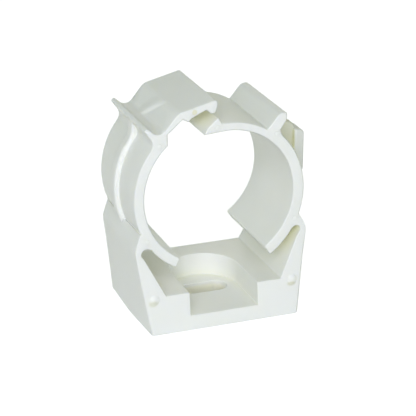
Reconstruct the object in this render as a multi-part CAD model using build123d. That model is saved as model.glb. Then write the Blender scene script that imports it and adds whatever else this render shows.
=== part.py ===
"""Snap-lock conduit clamp: one moulding with a screw base, two sprung arms and a ratchet lock."""
import math
import os

from build123d import *

# All sizes are in millimetres and degrees.
# X runs across the clamp, Y runs along the conduit, Z runs up from the mounting face.

# Base block and side walls
base_top = 6.9
base_depth = 22.6
ring_depth = 18.5
shoulder_height = 15.8
wall_lean = 2.25
wall_root = 3.05
side_draft = 0.42
shoulder_round = 4.0
base_bevel = 0.4

# Screw recess, open to the front, and the slot in its floor
recess_width = 12.9
recess_floor = 2.7
recess_end_y = -0.6
slot_length = 9.0
slot_width = 4.2

# Left arm, which carries the hook
left_x = -1.26
left_z = 24.75
left_radius = 13.15
left_wall = 1.95
left_finger_angle = 240.5
left_end_angle = 131.9
left_relief_angle = 217.3
left_relief_radius = 1.0
left_neck_wall = 1.1
left_notch_angle = 203.0

# Right arm, which carries the tongue and seats the conduit
right_x = 1.05
right_z = 23.5
seat_radius = 12.5
right_wall = 2.15
right_finger_angle = -55.5
right_relief_angle = -30.7
right_relief_radius = 0.8
right_neck_wall = 1.2
right_notch_angle = -20.0

# Hook: throat, ratchet tooth, pocket, end tooth and nose, measured from the end of the arm
hook_root_height = 2.05
throat_run = 2.8
throat_rise = 2.4
hook_tooth_run = 1.05
hook_tooth_drop = 0.6
pocket_start = 0.45
pocket_run = 2.75
pocket_rise = 1.25
end_tooth_drop = 0.75
nose_width = 1.7
nose_round = 0.6
hook_rise = 7.52
hook_back_run = 7.3
hook_slope = 14.0
hook_round = 2.4

# Left release lip and the valley behind it, measured out from the left arm
left_lip_height = 3.3
left_lip_angle = 133.0
left_lip_foot_angle = 137.5
left_lip_width = 0.75
left_lip_tilt = 45.0
left_lip_blend = 1.8
valley_height = 0.23
valley_angle = 131.7
valley_round = 1.6

# Tongue and its tooth, measured out from the seat
tongue_wall = 1.5
tongue_angle = 97.5
tooth_height = 1.35
tooth_tip_angle = 96.5
tooth_heel_angle = 94.6
tooth_knee_angle = 105.6
tooth_end_angle = 110.2
tooth_end_rise = 0.45

# Right release lip, measured out from the tongue
right_lip_height = 4.0
right_lip_foot_angle = 58.0
right_lip_crest_angle = 56.4
right_lip_tip_angle = 52.6
right_lip_waist_angle = 49.0
right_lip_end_angle = 45.0
right_lip_waist_height = 0.5
right_lip_crest_drop = 0.45
right_lip_tip_rise = 0.4
right_lip_undercut = 0.05
right_lip_round = 0.45
right_lip_crest_round = 1.6

# Mid-depth rib on the left arm and the thumb tab on the right one
rib_depth = 2.5
rib_height = 0.9
rib_end_angle = 212.0
rib_start_angle = 152.0
rib_blend_angle = 141.0
rib_lift = 0.3
rib_top_drop = 0.33
rib_top_angle = 2.2
rib_round = 0.5
tab_reach = 3.0
tab_rise = 8.4
tab_step = 1.0
tab_width = 1.9
tab_depth = 4.1
tab_top_angle = 44.0
tab_low_angle = -14.0
tab_round = 1.0

# Softened edges and corners of the arms, rib and tab
edge_bevel = 0.27
corner_round = 0.36

# Round ejector marks on the front of the side walls
mark_radius = 1.0
mark_height = 0.4
mark_z = 6.5
mark_inset = 0.85

arm_overlap = 0.5
lean_top = shoulder_height - shoulder_round / 2
left_outer = left_radius + left_wall
right_outer = seat_radius + right_wall
tongue_outer = seat_radius + tongue_wall
left_middle = left_radius + left_wall / 2
tab_edge = right_x + right_outer + tab_reach
tab_top = right_z + tab_rise
right_middle = seat_radius + right_wall / 2


def left_point(radius, angle):
    """Point at a radius and angle about the left arm's centre."""
    turn = math.radians(angle)
    return (left_x + radius * math.cos(turn), left_z + radius * math.sin(turn))


def right_point(radius, angle):
    """Point at a radius and angle about the right arm's centre."""
    turn = math.radians(angle)
    return (right_x + radius * math.cos(turn), right_z + radius * math.sin(turn))


def moved(point, x, z):
    """Point moved by a distance in X and in Z."""
    return (point[0] + x, point[1] + z)


def arc(point, radius, start, end):
    """Arc about one arm's centre."""
    middle = (start + end) / 2
    return ThreePointArc(point(radius, start), point(radius, middle), point(radius, end))


def polygon(points):
    """Face with straight sides through the points."""
    return make_face(Polyline(*points, close=True))


def rounded(face, radius, *points):
    """Face with the corners nearest the points rounded."""
    for point in points:
        corners = face.vertices().sort_by_distance(Vector(point[0], point[1], 0))
        face = fillet(corners[0], radius)
    return face


def along_conduit(face, depth):
    """Profile in X and Z made solid, half of the depth to each side of the middle."""
    return extrude(Plane.XZ * face, amount=depth / 2, both=True)


left_relief = left_point(left_outer + left_relief_radius, left_relief_angle)
right_relief = right_point(right_outer + right_relief_radius, right_relief_angle)
left_shoulder = left_relief[0] - left_relief_radius - left_neck_wall
right_shoulder = right_relief[0] + right_relief_radius + right_neck_wall


def block_outline(spread):
    """Base block up to the necks of the arms, with the outer sides moved out by the spread."""
    left_notch = left_point(left_outer, left_notch_angle)
    right_notch = right_point(right_outer, right_notch_angle)
    left_top = (left_shoulder - spread, shoulder_height)
    right_top = (right_shoulder + spread, shoulder_height)
    outline = polygon([
        (left_shoulder + wall_lean - spread, 0),
        (right_shoulder - wall_lean + spread, 0),
        right_top,
        moved(right_notch, spread, 0),
        moved(right_notch, -right_wall / 2, 0),
        moved(left_notch, left_wall / 2, 0),
        moved(left_notch, -spread, 0),
        left_top,
    ])
    return rounded(outline, shoulder_round, left_top, right_top)


def block_half(side):
    """Half of the block from the parting plane outwards, drafted on its outer sides."""
    middle = Plane.XZ * block_outline(side_draft)
    end = Plane.XZ.offset(side * base_depth / 2) * block_outline(0)
    return loft([middle.face(), end.face()], ruled=True)


def block_envelope():
    """Front and rear faces of the block, which lean in to the depth of the arms."""
    half_foot = base_depth / 2
    half_ring = ring_depth / 2
    side = polygon([
        (-half_foot, 0),
        (half_foot, 0),
        (half_ring, lean_top),
        (half_ring, left_z),
        (-half_ring, left_z),
        (-half_ring, lean_top),
    ])
    return extrude(Plane.YZ * side, amount=right_shoulder - left_shoulder, both=True)


def corner_edges(block):
    """Edges up the four corners of the block, without the parting lines between them."""
    upright = block.edges().filter_by(lambda e: e.bounding_box().size.Z > shoulder_height / 2)
    return upright.filter_by(lambda e: abs(e.center().Y) > ring_depth / 4)


def wall_opening():
    """Room between the walls for the conduit, the fingers and the slits beside them."""
    return polygon([
        (left_shoulder + wall_lean + wall_root, base_top),
        (right_shoulder - wall_lean - wall_root, base_top),
        moved(right_relief, right_relief_radius, 0),
        right_relief,
        right_point(right_middle, right_relief_angle),
        right_point(right_middle, right_notch_angle),
        (right_x, right_z),
        (left_x, left_z),
        left_point(left_middle, left_notch_angle),
        left_point(left_middle, left_relief_angle),
        left_relief,
        moved(left_relief, -left_relief_radius, 0),
    ])


def base():
    """Screw base with its two walls."""
    block = (block_half(1) + block_half(-1)) & block_envelope()
    block = chamfer(corner_edges(block), base_bevel)
    block -= along_conduit(wall_opening(), 2 * base_depth)
    return block - screw_recess()


def screw_recess():
    """Pocket for the screw head, open to the front, with a round rear end."""
    radius = recess_width / 2
    run = base_depth / 2 + recess_end_y
    floor = Plane.XY.offset(recess_floor)
    pocket = Rectangle(recess_width, run, align=(Align.CENTER, Align.MAX))
    pocket += Circle(radius)
    pocket = extrude(floor * Pos(0, recess_end_y) * pocket, amount=base_top)
    slot = extrude(SlotOverall(slot_length, slot_width), amount=2 * recess_floor, both=True)
    return pocket + slot


def left_arm_outline():
    """Left arm from its free finger up to the hook and the release lip."""
    root = left_point(left_radius, left_end_angle)
    throat = moved(root, 0, hook_root_height)
    tooth = moved(throat, throat_run, throat_rise)
    tooth_low = moved(tooth, hook_tooth_run, -hook_tooth_drop)
    pocket = moved(tooth_low, pocket_start, hook_tooth_drop)
    pocket_end = moved(pocket, pocket_run, pocket_rise)
    catch = moved(pocket_end, nose_width / 2, -end_tooth_drop)
    nose_low = moved(catch, nose_width / 2, 0)
    crown = (nose_low[0] + nose_width / 4, root[1] + hook_rise)
    nose = (nose_low[0] + nose_width / 4, (nose_low[1] + crown[1]) / 2)
    fall = hook_back_run * math.tan(math.radians(hook_slope))
    back = moved(crown, -hook_back_run, -fall)
    valley = left_point(left_outer + valley_height, valley_angle)
    lip_inner = left_point(left_outer + left_lip_height, left_lip_angle)
    tilt = math.radians(left_lip_tilt)
    lip_outer = moved(lip_inner, -left_lip_width * math.cos(tilt), -left_lip_width * math.sin(tilt))
    foot = left_point(left_outer, left_lip_foot_angle)
    finger = left_point(left_radius, left_finger_angle)
    finger_outer = left_point(left_outer, left_finger_angle)
    inside = arc(left_point, left_radius, left_finger_angle, left_end_angle)
    outside = arc(left_point, left_outer, left_lip_foot_angle, left_finger_angle)
    hook = Polyline(
        root, throat, tooth, tooth_low, pocket, pocket_end, catch, nose_low, nose, crown, back,
        valley, lip_inner, lip_outer, foot,
    )
    face = make_face([inside, *hook.edges(), outside, Line(finger_outer, finger)])
    face = rounded(face, hook_round, back)
    face = rounded(face, left_lip_blend, foot)
    face = rounded(face, valley_round, valley)
    face = rounded(face, nose_round, crown)
    face = rounded(face, corner_round, catch, nose_low, tooth_low)
    face = rounded(face, corner_round, lip_inner, lip_outer, finger, finger_outer)
    return face


def right_arm_outline():
    """Right arm from its free finger up to the tongue's tooth and the release lip."""
    lip_radius = tongue_outer + right_lip_height
    end = right_point(seat_radius + tooth_end_rise, tooth_end_angle)
    knee = right_point(tongue_outer, tooth_knee_angle)
    tip = right_point(tongue_outer + tooth_height, tooth_tip_angle)
    crest = right_point(lip_radius - right_lip_crest_drop, right_lip_crest_angle)
    lip_tip = right_point(lip_radius + right_lip_tip_rise, right_lip_tip_angle)
    waist = right_point(right_outer + right_lip_waist_height, right_lip_waist_angle)
    finger = right_point(seat_radius, right_finger_angle)
    finger_outer = right_point(right_outer, right_finger_angle)
    shin = moved(lip_tip, -right_lip_undercut, -right_lip_height / 3)
    inside = arc(right_point, seat_radius, right_finger_angle, tongue_angle)
    band = arc(right_point, tongue_outer, tooth_heel_angle, right_lip_foot_angle)
    outside = arc(right_point, right_outer, right_lip_end_angle, right_finger_angle)
    tooth = Polyline(
        right_point(seat_radius, tongue_angle), end, knee, tip,
        right_point(tongue_outer, tooth_heel_angle),
    )
    lip = Polyline(
        right_point(tongue_outer, right_lip_foot_angle), crest, lip_tip, shin, waist,
        right_point(right_outer, right_lip_end_angle),
    )
    edges = [inside, *tooth.edges(), band, *lip.edges(), outside, Line(finger_outer, finger)]
    face = make_face(edges)
    face = rounded(face, right_lip_crest_round, crest)
    face = rounded(face, right_lip_round, lip_tip, shin)
    face = rounded(face, corner_round, waist, tip, finger, finger_outer)
    return face


def left_rib_outline():
    """Mid-depth rib that follows the left arm and sweeps up under the lip."""
    inner = left_outer - arm_overlap
    outer = left_outer + rib_height
    start = left_point(outer, rib_start_angle)
    bend = left_point(outer + rib_lift, rib_blend_angle)
    top_radius = left_outer + left_lip_height - rib_top_drop
    top = left_point(top_radius, left_lip_angle + rib_top_angle)
    foot = left_point(inner, left_lip_foot_angle)
    sweep = ThreePointArc(top, bend, start)
    back = arc(left_point, outer, rib_start_angle, rib_end_angle)
    front = arc(left_point, inner, rib_end_angle, left_lip_foot_angle)
    end = Line(left_point(outer, rib_end_angle), left_point(inner, rib_end_angle))
    return make_face([sweep, back, end, front, Line(foot, top)])


def right_web_outline():
    """Mid-depth web behind the lip, which joins the thumb tab to the right arm."""
    return polygon([
        right_point(right_middle, tab_top_angle),
        (tab_edge - 2 * tab_width, tab_top + 2 * tab_step),
        (tab_edge - tab_width, tab_top + tab_step),
        (tab_edge - tab_width / 2, tab_top - tab_round),
        (tab_edge - tab_width / 2, right_z + tab_round),
        right_point(right_middle, tab_low_angle),
    ]) - Pos(right_x, right_z) * Circle(right_middle)


def thumb_tab_outline():
    """Thumb tab that stands out from the right arm."""
    left = tab_edge - tab_width
    tab = polygon([(left, tab_top), (tab_edge, tab_top), (tab_edge, right_z), (left, right_z)])
    return rounded(tab, tab_round, (tab_edge, tab_top), (tab_edge, right_z))


def ejector_mark(x):
    """Low domed bump left by the mould on the leaning front face of a wall."""
    lean = (base_depth - ring_depth) / 2 / lean_top
    front = -base_depth / 2 + lean * mark_z
    dome = (mark_radius**2 + mark_height**2) / (2 * mark_height)
    face = Plane(origin=(x, front, mark_z), x_dir=(1, 0, 0), z_dir=(0, -1, lean))
    return face.offset(mark_height - dome) * Sphere(dome)


def soft_faces(solid):
    """Solid with the edges of its front and rear faces bevelled."""
    front = solid.faces().sort_by(Axis.Y)[0]
    rear = solid.faces().sort_by(Axis.Y)[-1]
    return chamfer(front.edges() + rear.edges(), edge_bevel)


def round_faces(solid):
    """Solid with the edges of its front and rear faces rounded."""
    front = solid.faces().sort_by(Axis.Y)[0]
    rear = solid.faces().sort_by(Axis.Y)[-1]
    return fillet(front.edges() + rear.edges(), rib_round)


def clamp_body():
    """The whole moulding."""
    body = base()
    body += soft_faces(along_conduit(left_arm_outline(), ring_depth))
    body += soft_faces(along_conduit(right_arm_outline(), ring_depth))
    body += round_faces(along_conduit(left_rib_outline(), rib_depth))
    body += soft_faces(along_conduit(right_web_outline(), rib_depth))
    body += soft_faces(along_conduit(thumb_tab_outline(), tab_depth))
    body -= along_conduit(Pos(*left_relief) * Circle(left_relief_radius), base_depth)
    body -= along_conduit(Pos(*right_relief) * Circle(right_relief_radius), base_depth)
    body += ejector_mark(left_shoulder + wall_lean + mark_inset)
    body += ejector_mark(right_shoulder - wall_lean - mark_inset)
    return body


os.makedirs("parts", exist_ok=True)
body = clamp_body()
export_step(body, "parts/clamp_body.step")
print("solids", len(body.solids()), "volume", round(body.volume, 1), "box", body.bounding_box())
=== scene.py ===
"""Looks for the snap-lock conduit clamp: softened edges, mould marks, white plastic and a studio."""

import math

import bpy
from mathutils import Matrix, Vector


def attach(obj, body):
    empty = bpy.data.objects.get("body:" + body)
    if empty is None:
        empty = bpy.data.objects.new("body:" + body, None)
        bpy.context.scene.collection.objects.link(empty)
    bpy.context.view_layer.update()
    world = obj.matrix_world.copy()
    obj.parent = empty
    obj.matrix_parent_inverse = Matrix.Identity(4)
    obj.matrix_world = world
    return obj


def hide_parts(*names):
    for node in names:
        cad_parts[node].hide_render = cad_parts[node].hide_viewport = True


MM = 0.001

# Photo camera, fitted to the clamp's edges; angles in degrees
CAMERA_TURN = -21.13
CAMERA_RISE = 21.91
CAMERA_ROLL = 0.23
CAMERA_DISTANCE = 333.7 * MM
CAMERA_TARGET = Vector((0.894, 0, 18.19)) * MM
CAMERA_LENS = 159.5
CAMERA_SENSOR = 36.0
CAMERA_NEAR = 0.01
CAMERA_FAR = 20.0

# Soft fill of the studio
SKY_COLOUR = (0.88, 1.0, 0.865, 1)
SKY_HORIZON = 0.475
SKY_ZENITH = 0.265
SKY_SEEN = (1, 1, 1, 1)

# Lamps, as name, turn and rise in degrees, size, power and colour
LAMP_DISTANCE = 0.7
LAMPS = [
    ("key", -24, 27, 0.45, 3.38, (0.885, 0.88, 1.0)),
    ("rear", 150, 25, 0.35, 0.3, (1.0, 0.84, 0.68)),
]

# Floor: its size and colours, the light that it sends up and its lift to the camera
FLOOR_SIZE = 6.0
FLOOR_OPEN = (0.7, 0.7, 0.7, 1)
FLOOR_SHADED = (0.5, 0.49, 0.42, 1)
FLOOR_GLOW = 0.03
FLOOR_LIFT = 0.7

# Shades on the floor, as centre and half sizes in millimetres, rim and depth
FLOOR_SHADES = [
    ((0, 0, 0), (9, 7, 1), 1.3, 1.0),
    ((-3.5, 13, 0), (5, 14, 1), 1.5, 0.65),
]

# Joining of the solid's facets, and the round of the edges that it leaves sharp; angles in degrees
MERGE_REACH = 0.002 * MM
FLAT_ANGLE = 0.6
EDGE_ROUND = 0.16 * MM
EDGE_ANGLE = 52.0
ROUND_STEPS = 2
SMOOTH_ANGLE = 50.0

# Back of the hook: the way that it faces, its ends, its foot and how closely a face follows it
HOOK_BACK = Vector((-0.776, 0, 0.631))
HOOK_BACK_START = -12.6 * MM
HOOK_BACK_END = -7.0 * MM
HOOK_BACK_FOOT = 36.0 * MM
HOOK_BACK_LIKENESS = 0.8

# Soft ridge that runs slantwise over the back of the hook, steep in front and flat behind
RIDGE_CENTRE = Vector((-9.75, 0.55, 38.45)) * MM
RIDGE_WAY = Vector((3.1, -4.9, 3.5)).normalized()
RIDGE_SIDE = HOOK_BACK.cross(RIDGE_WAY).normalized()
RIDGE_LENGTH = 5.2 * MM
RIDGE_FRONT = 0.85 * MM
RIDGE_REAR = 2.8 * MM
RIDGE_HEIGHT = 0.32 * MM
RIDGE_DEPTH = 0.5 * MM

# Net of cuts that carries the ridge, counted in steps from its centre
CUT_ALONG = 0.4 * MM
CUTS_ALONG = range(-13, 14)
CUT_ASIDE = 0.2 * MM
CUTS_ASIDE = range(-5, 15)

# Small ejector marks on the front faces of the arms, as X and Z in millimetres
ARM_FRONT = -9.25
MARKS = [(-14.0, 17.3), (-11.6, 34.7), (-5.2, 40.15), (-0.9, 36.85), (10.3, 34.4), (14.05, 17.8)]
MARK_RADIUS = 0.45 * MM
MARK_HEIGHT = 0.08 * MM
MARK_ROUND = 0.05 * MM
MARK_SIDES = 32
MARK_SMOOTH_ANGLE = 35.0

# White plastic: cloudy tint, sheen, moulded grain and the light that it lets in
TINT_SCALE = 120.0
TINT_DETAIL = 3.0
TINT_DARK = (0.91, 0.92, 0.86, 1)
TINT_LIGHT = (0.93, 0.94, 0.885, 1)
TINT_STOPS = (0.3, 0.7)
SHEEN_CLOSE = 0.38
SHEEN_OPEN = 0.5
GRAIN_SCALE = 2600.0
GRAIN_DETAIL = 2.0
GRAIN_STRENGTH = 0.06
GRAIN_HEIGHT = 0.05 * MM
LIGHT_IN_BODY = 0.4
LIGHT_IN_MARKS = 0.0
LIGHT_RADIUS = (1.0, 0.95, 0.75)
LIGHT_REACH = 1.5 * MM

# Painted shade: olive tint that darkens the closed-in corners, and the room around the rib that
# stays free of it
CORNER_REACH = 6.0 * MM
CORNER_SAMPLES = 8
CORNER_SHUT = 0.15
CORNER_OPEN = 0.7
CORNER_PAINTED_SHADE = (1.0, 0.985, 0.8, 1)
RIB_UNSHADED = ((-14.5, 0, 26.5), (3.2, 5, 13))

# Painted shade: yellow-brown tint in the shadowed pocket of the lock, as centre and half sizes in
# millimetres and colour
POCKET_PAINTED_SHADE = ((-4.3, 0, 39.3), (2.0, 12, 1.7), (1.0, 0.9, 0.55, 1))
PATCH_RIM = 1.3

# Yellowish tint of the hook's mark, and painted shade on the web, tab, slot and lower rims of the
# base marks, as centre, half sizes, rim and colour
MARK_TINT_AND_PAINTED_SHADES = [
    ((-5.2, -9.25, 40.15), (0.4, 0.6, 0.4), PATCH_RIM, (0.94, 0.91, 0.74, 1)),
    ((15.6, 0, 30.5), (1.5, 2.5, 4), PATCH_RIM, (0.84, 0.83, 0.72, 1)),
    ((18.0, 0, 28), (1.1, 3, 6), PATCH_RIM, (0.86, 0.86, 0.84, 1)),
    ((0, 0, 0.6), (6, 3.5, 1.6), PATCH_RIM, (1.0, 0.985, 0.9, 1)),
    ((-13.35, -10.5, 5.9), (0.4, 1.2, 0.3), 2.8, (0.88, 0.875, 0.78, 1)),
    ((13.05, -10.5, 5.75), (0.35, 1.2, 0.2), 3.2, (0.82, 0.81, 0.7, 1)),
]

# Grid on which the shader nodes are laid out
GRAPH_COLUMNS = 6
GRAPH_STEP = 260


def only(obj):
    """Makes one object the active selection."""
    bpy.ops.object.select_all(action="DESELECT")
    obj.select_set(True)
    bpy.context.view_layer.objects.active = obj


def apply_modifier(obj, name):
    """Applies a modifier by name."""
    only(obj)
    bpy.ops.object.modifier_apply(modifier=name)


def on_hook_back(face):
    """Tells whether a face lies on the back of the hook or on the rounds beside it."""
    across = HOOK_BACK_START < face.center.x < HOOK_BACK_END
    above = face.center.z > HOOK_BACK_FOOT
    return across and above and face.normal.dot(HOOK_BACK) > HOOK_BACK_LIKENESS


def cut_hook_back(piece, point, normal):
    """Cuts the back of the hook along one plane."""
    for face in piece.data.polygons:
        face.select = on_hook_back(face)
    bpy.ops.object.mode_set(mode="EDIT")
    bpy.ops.mesh.bisect(plane_co=point, plane_no=normal)
    bpy.ops.mesh.select_all(action="DESELECT")
    bpy.ops.object.mode_set(mode="OBJECT")


def ridge_share(offset):
    """Share of the ridge's height at an offset from its centre."""
    if abs(offset.dot(HOOK_BACK)) >= RIDGE_DEPTH:
        return 0.0
    along = offset.dot(RIDGE_WAY) / RIDGE_LENGTH
    aside = offset.dot(RIDGE_SIDE)
    aside /= RIDGE_REAR if aside > 0 else RIDGE_FRONT
    near = max(0.0, 1.0 - math.hypot(along, aside))
    return near * near * (3.0 - 2.0 * near)


def raise_ridge(piece):
    """Cuts a fine net into the back of the hook and raises the ridge on it."""
    only(piece)
    bpy.ops.object.mode_set(mode="EDIT")
    bpy.ops.mesh.select_mode(type="FACE")
    bpy.ops.mesh.select_all(action="DESELECT")
    bpy.ops.object.mode_set(mode="OBJECT")
    for step in CUTS_ALONG:
        cut_hook_back(piece, RIDGE_CENTRE + RIDGE_WAY * step * CUT_ALONG, RIDGE_WAY)
    for step in CUTS_ASIDE:
        cut_hook_back(piece, RIDGE_CENTRE + RIDGE_SIDE * step * CUT_ASIDE, RIDGE_SIDE)
    for vertex in piece.data.vertices:
        vertex.co += HOOK_BACK * RIDGE_HEIGHT * ridge_share(vertex.co - RIDGE_CENTRE)


def moulding(node):
    """Copy of the CAD node with merged points, flat faces joined, edges rounded and the ridge."""
    piece = node.copy()
    piece.data = node.data.copy()
    piece.name = "clamp_moulding"
    bpy.context.scene.collection.objects.link(piece)
    piece.parent = None
    piece.matrix_world = node.matrix_world.copy()
    only(piece)
    bpy.ops.object.transform_apply(location=True, rotation=True, scale=True)
    bpy.ops.object.mode_set(mode="EDIT")
    bpy.ops.mesh.select_all(action="SELECT")
    bpy.ops.mesh.remove_doubles(threshold=MERGE_REACH)
    bpy.ops.mesh.customdata_custom_splitnormals_clear()
    bpy.ops.mesh.dissolve_limited(angle_limit=math.radians(FLAT_ANGLE))
    bpy.ops.object.mode_set(mode="OBJECT")
    bevel = piece.modifiers.new("soft_edges", "BEVEL")
    bevel.width = EDGE_ROUND
    bevel.segments = ROUND_STEPS
    bevel.limit_method = "ANGLE"
    bevel.angle_limit = math.radians(EDGE_ANGLE)
    bevel.loop_slide = False
    bevel.use_clamp_overlap = False
    apply_modifier(piece, "soft_edges")
    raise_ridge(piece)
    bpy.ops.object.shade_smooth_by_angle(angle=math.radians(SMOOTH_ANGLE))
    even = piece.modifiers.new("even_shading", "WEIGHTED_NORMAL")
    even.keep_sharp = True
    apply_modifier(piece, "even_shading")
    return piece


def first_mark():
    """Low round ejector mark with a soft rim, at the first place on the arms."""
    x, z = MARKS[0]
    bpy.ops.object.select_all(action="DESELECT")
    bpy.ops.mesh.primitive_cylinder_add(
        vertices=MARK_SIDES,
        radius=MARK_RADIUS,
        depth=2 * MARK_HEIGHT,
        location=(x * MM, ARM_FRONT * MM, z * MM),
        rotation=(math.radians(90), 0, 0),
    )
    mark = bpy.context.object
    bpy.ops.object.transform_apply(location=True, rotation=True, scale=True)
    bevel = mark.modifiers.new("soft_rim", "BEVEL")
    bevel.width = MARK_ROUND
    bevel.segments = ROUND_STEPS
    apply_modifier(mark, "soft_rim")
    bpy.ops.object.shade_smooth_by_angle(angle=math.radians(MARK_SMOOTH_ANGLE))
    return mark


def front_marks():
    """Ejector marks on the front of the arms, copied from the first and joined as one piece."""
    first = first_mark()
    first_x, first_z = MARKS[0]
    marks = [first]
    for x, z in MARKS[1:]:
        only(first)
        bpy.ops.object.duplicate()
        bpy.ops.transform.translate(value=((x - first_x) * MM, 0, (z - first_z) * MM))
        marks.append(bpy.context.object)
    only(first)
    for mark in marks:
        mark.select_set(True)
    bpy.ops.object.join()
    first.name = "ejector_marks"
    return first


def node_of(material, kind):
    """New shader node in a material."""
    return material.node_tree.nodes.new(kind)


def lay_out(tree):
    """Spreads the nodes of a graph over a grid, so that it can be read in the editor."""
    for index, node in enumerate(tree.nodes):
        row, column = divmod(index, GRAPH_COLUMNS)
        node.location = (column * GRAPH_STEP, -row * GRAPH_STEP)


def combined(material, operation, one, other):
    """Two values joined by an operation."""
    links = material.node_tree.links
    node = node_of(material, "ShaderNodeMath")
    node.operation = operation
    links.new(one, node.inputs[0])
    links.new(other, node.inputs[1])
    return node.outputs["Value"]


def blend(material, colour, tint_and_shade, amount):
    """Colour multiplied by a tint, as far as the amount goes; the tints are painted shade and the
    hook mark's own tint.
    """
    links = material.node_tree.links
    mix = node_of(material, "ShaderNodeMixRGB")
    mix.blend_type = "MULTIPLY"
    links.new(amount, mix.inputs["Fac"])
    links.new(colour, mix.inputs["Color1"])
    mix.inputs["Color2"].default_value = tint_and_shade
    return mix.outputs["Color"]


def fade(material, value, full, none, most=1.0):
    """The most where the value is at the full mark, falling to nothing at the other mark."""
    ramp = node_of(material, "ShaderNodeMapRange")
    ramp.interpolation_type = "SMOOTHSTEP"
    ramp.inputs["From Min"].default_value = full
    ramp.inputs["From Max"].default_value = none
    ramp.inputs["To Min"].default_value = most
    ramp.inputs["To Max"].default_value = 0.0
    material.node_tree.links.new(value, ramp.inputs["Value"])
    return ramp.outputs["Result"]


def patch(material, where, centre, half):
    """Distance from the middle of a patch, which is one at its edge; sizes in millimetres."""
    links = material.node_tree.links
    local = node_of(material, "ShaderNodeMapping")
    local.vector_type = "TEXTURE"
    local.inputs["Location"].default_value = [v * MM for v in centre]
    local.inputs["Scale"].default_value = [v * MM for v in half]
    reach = node_of(material, "ShaderNodeVectorMath")
    reach.operation = "LENGTH"
    links.new(where, local.inputs["Vector"])
    links.new(local.outputs["Vector"], reach.inputs[0])
    return reach.outputs["Value"]


def closed_in(material, where):
    """Mask of the painted corner shade: one deep in a corner and nothing in the open or around the
    rib.
    """
    corner = node_of(material, "ShaderNodeAmbientOcclusion")
    corner.only_local = True
    corner.samples = CORNER_SAMPLES
    corner.inputs["Distance"].default_value = CORNER_REACH
    shut = fade(material, corner.outputs["AO"], CORNER_SHUT, CORNER_OPEN)
    away = fade(material, patch(material, where, *RIB_UNSHADED), PATCH_RIM, 1.0)
    return combined(material, "MULTIPLY", shut, away)


def painted_shade_and_tint(material, where, colour):
    """Colour with painted shade in the olive corners, the yellow-brown pocket of the lock and on the
    web, tab, slot and base-mark rims, and with the hook mark's tint.
    """
    deep = closed_in(material, where)
    centre, half, tint_and_shade = POCKET_PAINTED_SHADE
    pocket = fade(material, patch(material, where, centre, half), 1.0, PATCH_RIM)
    # Painted shade in the closed-in corners, then in the lock's pocket
    colour = blend(material, colour, CORNER_PAINTED_SHADE, deep)
    colour = blend(material, colour, tint_and_shade, combined(material, "MULTIPLY", pocket, deep))
    # Painted shade on the web, tab, slot and base-mark rims, and the hook mark's own tint
    for centre, half, rim, tint_and_shade in MARK_TINT_AND_PAINTED_SHADES:
        spot = fade(material, patch(material, where, centre, half), 1.0, rim)
        colour = blend(material, colour, tint_and_shade, spot)
    return colour


def noise(material, where, scale, detail):
    """Noise of a scale and a detail on the clamp's own coordinates."""
    cloud = node_of(material, "ShaderNodeTexNoise")
    cloud.inputs["Scale"].default_value = scale
    cloud.inputs["Detail"].default_value = detail
    material.node_tree.links.new(where, cloud.inputs["Vector"])
    return cloud.outputs["Fac"]


def cloudy_tint(material, cloud):
    """Faintly uneven white of the plastic."""
    tint = node_of(material, "ShaderNodeValToRGB")
    for stop, place, colour in zip(tint.color_ramp.elements, TINT_STOPS, (TINT_DARK, TINT_LIGHT)):
        stop.position = place
        stop.color = colour
    material.node_tree.links.new(cloud, tint.inputs["Fac"])
    return tint.outputs["Color"]


def uneven_sheen(material, cloud):
    """Roughness of the satin surface."""
    rough = node_of(material, "ShaderNodeMapRange")
    rough.inputs["To Min"].default_value = SHEEN_CLOSE
    rough.inputs["To Max"].default_value = SHEEN_OPEN
    material.node_tree.links.new(cloud, rough.inputs["Value"])
    return rough.outputs["Result"]


def moulded_grain(material, where):
    """Normal of the fine grain that the mould leaves."""
    bump = node_of(material, "ShaderNodeBump")
    bump.inputs["Strength"].default_value = GRAIN_STRENGTH
    bump.inputs["Distance"].default_value = GRAIN_HEIGHT
    grain = noise(material, where, GRAIN_SCALE, GRAIN_DETAIL)
    material.node_tree.links.new(grain, bump.inputs["Height"])
    return bump.outputs["Normal"]


def white_plastic(name, light_in):
    """Satin white plastic that lets in a share of the light."""
    material = bpy.data.materials.new(name)
    material.use_nodes = True
    links = material.node_tree.links
    shader = material.node_tree.nodes["Principled BSDF"]
    where = node_of(material, "ShaderNodeTexCoord").outputs["Object"]
    cloud = noise(material, where, TINT_SCALE, TINT_DETAIL)
    colour = painted_shade_and_tint(material, where, cloudy_tint(material, cloud))
    links.new(colour, shader.inputs["Base Color"])
    links.new(uneven_sheen(material, cloud), shader.inputs["Roughness"])
    links.new(moulded_grain(material, where), shader.inputs["Normal"])
    shader.inputs["Subsurface Weight"].default_value = light_in
    shader.inputs["Subsurface Radius"].default_value = LIGHT_RADIUS
    shader.inputs["Subsurface Scale"].default_value = LIGHT_REACH
    lay_out(material.node_tree)
    return material


def floor_shade(material):
    """One under the foot and in the shadow close behind it, and nothing on the open floor."""
    where = node_of(material, "ShaderNodeTexCoord").outputs["Object"]
    shades = []
    for centre, half, rim, depth in FLOOR_SHADES:
        near = patch(material, where, centre, half)
        shades.append(fade(material, near, 1.0, rim, depth))
    return combined(material, "MAXIMUM", *shades)


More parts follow.
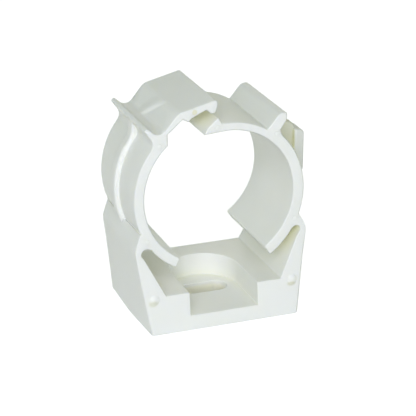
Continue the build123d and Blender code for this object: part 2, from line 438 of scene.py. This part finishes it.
def floor_glow(material, shade):
    """Emission that lifts the open floor to white for the camera and leaves the shade alone."""
    links = material.node_tree.links
    path = node_of(material, "ShaderNodeLightPath")
    seen = combined(
        material, "MAXIMUM", path.outputs["Is Camera Ray"], path.outputs["Is Glossy Ray"]
    )
    lift = node_of(material, "ShaderNodeMath")
    lift.operation = "MULTIPLY_ADD"
    lift.inputs[1].default_value = FLOOR_LIFT
    lift.inputs[2].default_value = FLOOR_GLOW
    links.new(seen, lift.inputs[0])
    unshaded = node_of(material, "ShaderNodeMath")
    unshaded.operation = "SUBTRACT"
    unshaded.inputs[0].default_value = 1.0
    links.new(shade, unshaded.inputs[1])
    glow = node_of(material, "ShaderNodeEmission")
    strength = combined(
        material, "MULTIPLY", lift.outputs["Value"], unshaded.outputs["Value"]
    )
    links.new(strength, glow.inputs["Strength"])
    return glow.outputs["Emission"]


def floor_white():
    """Pale matte floor that reads as white to the camera and keeps the contact shadow."""
    material = bpy.data.materials.new("floor_white")
    material.use_nodes = True
    material.node_tree.nodes.clear()
    links = material.node_tree.links
    shade = floor_shade(material)
    tone = node_of(material, "ShaderNodeMixRGB")
    tone.inputs["Color1"].default_value = FLOOR_OPEN
    tone.inputs["Color2"].default_value = FLOOR_SHADED
    matte = node_of(material, "ShaderNodeBsdfDiffuse")
    both = node_of(material, "ShaderNodeAddShader")
    out = node_of(material, "ShaderNodeOutputMaterial")
    links.new(shade, tone.inputs["Fac"])
    links.new(tone.outputs["Color"], matte.inputs["Color"])
    links.new(matte.outputs["BSDF"], both.inputs[0])
    links.new(floor_glow(material, shade), both.inputs[1])
    links.new(both.outputs["Shader"], out.inputs["Surface"])
    lay_out(material.node_tree)
    return material


def studio_floor():
    """Floor that the clamp stands on."""
    bpy.ops.mesh.primitive_plane_add(size=FLOOR_SIZE, location=(0, 0, 0))
    floor = bpy.context.object
    floor.name = "floor"
    floor.data.materials.append(floor_white())


def studio_sky():
    """Soft fill, brighter near the horizon than overhead, and white behind the clamp."""
    world = bpy.data.worlds.new("studio")
    bpy.context.scene.world = world
    world.use_nodes = True
    nodes = world.node_tree.nodes
    links = world.node_tree.links
    fill = nodes["Background"]
    fill.inputs["Color"].default_value = SKY_COLOUR
    where = nodes.new("ShaderNodeTexCoord")
    axes = nodes.new("ShaderNodeSeparateXYZ")
    level = nodes.new("ShaderNodeMapRange")
    level.inputs["To Min"].default_value = SKY_HORIZON
    level.inputs["To Max"].default_value = SKY_ZENITH
    white = nodes.new("ShaderNodeBackground")
    white.inputs["Color"].default_value = SKY_SEEN
    path = nodes.new("ShaderNodeLightPath")
    both = nodes.new("ShaderNodeMixShader")
    out = nodes["World Output"]
    links.new(where.outputs["Generated"], axes.inputs["Vector"])
    links.new(axes.outputs["Z"], level.inputs["Value"])
    links.new(level.outputs["Result"], fill.inputs["Strength"])
    links.new(path.outputs["Is Camera Ray"], both.inputs["Fac"])
    links.new(fill.outputs["Background"], both.inputs[1])
    links.new(white.outputs["Background"], both.inputs[2])
    links.new(both.outputs["Shader"], out.inputs["Surface"])
    lay_out(world.node_tree)


def way_towards(turn, rise):
    """Direction from the clamp at a turn from the front and a rise, both in degrees."""
    a = math.radians(turn)
    e = math.radians(rise)
    return Vector((math.sin(a) * math.cos(e), -math.cos(a) * math.cos(e), math.sin(e)))


def soft_lamp(name, turn, rise, size, power, colour):
    """Square area lamp aimed at the middle of the clamp."""
    way = way_towards(turn, rise)
    bpy.ops.object.light_add(type="AREA", location=CAMERA_TARGET + way * LAMP_DISTANCE)
    lamp = bpy.context.object
    lamp.name = name
    lamp.rotation_euler = way.to_track_quat("Z", "Y").to_euler()
    lamp.data.size = size
    lamp.data.energy = power
    lamp.data.color = colour


def photo_camera():
    """Camera at the photo's angle."""
    back = way_towards(CAMERA_TURN, CAMERA_RISE)
    right = (-back).cross(Vector((0, 0, 1))).normalized()
    up = right.cross(-back)
    roll = math.radians(CAMERA_ROLL)
    side = right * math.cos(roll) + up * math.sin(roll)
    top = up * math.cos(roll) - right * math.sin(roll)
    data = bpy.data.cameras.new("photo_camera")
    camera = bpy.data.objects.new("photo_camera", data)
    bpy.context.scene.collection.objects.link(camera)
    turn = Matrix((side, top, back)).transposed().to_4x4()
    camera.matrix_world = Matrix.Translation(CAMERA_TARGET + back * CAMERA_DISTANCE) @ turn
    data.sensor_width = CAMERA_SENSOR
    data.lens = CAMERA_LENS
    data.clip_start = CAMERA_NEAR
    data.clip_end = CAMERA_FAR
    bpy.context.scene.camera = camera


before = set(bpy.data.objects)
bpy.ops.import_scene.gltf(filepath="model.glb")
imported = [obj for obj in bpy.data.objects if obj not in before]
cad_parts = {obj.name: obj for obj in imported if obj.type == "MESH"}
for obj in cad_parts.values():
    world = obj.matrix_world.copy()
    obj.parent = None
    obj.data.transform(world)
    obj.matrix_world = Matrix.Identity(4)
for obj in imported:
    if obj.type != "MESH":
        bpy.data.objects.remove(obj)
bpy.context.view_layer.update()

body = moulding(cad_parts["clamp_body"])
marks = front_marks()
body.data.materials.clear()
body.data.materials.append(white_plastic("white_plastic", LIGHT_IN_BODY))
marks.data.materials.clear()
marks.data.materials.append(white_plastic("white_plastic_thin", LIGHT_IN_MARKS))
for piece in (body, marks):
    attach(piece, "root")
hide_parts("clamp_body")

studio_floor()
studio_sky()
for lamp in LAMPS:
    soft_lamp(*lamp)
photo_camera()
bpy.context.scene.view_settings.view_transform = "Standard"
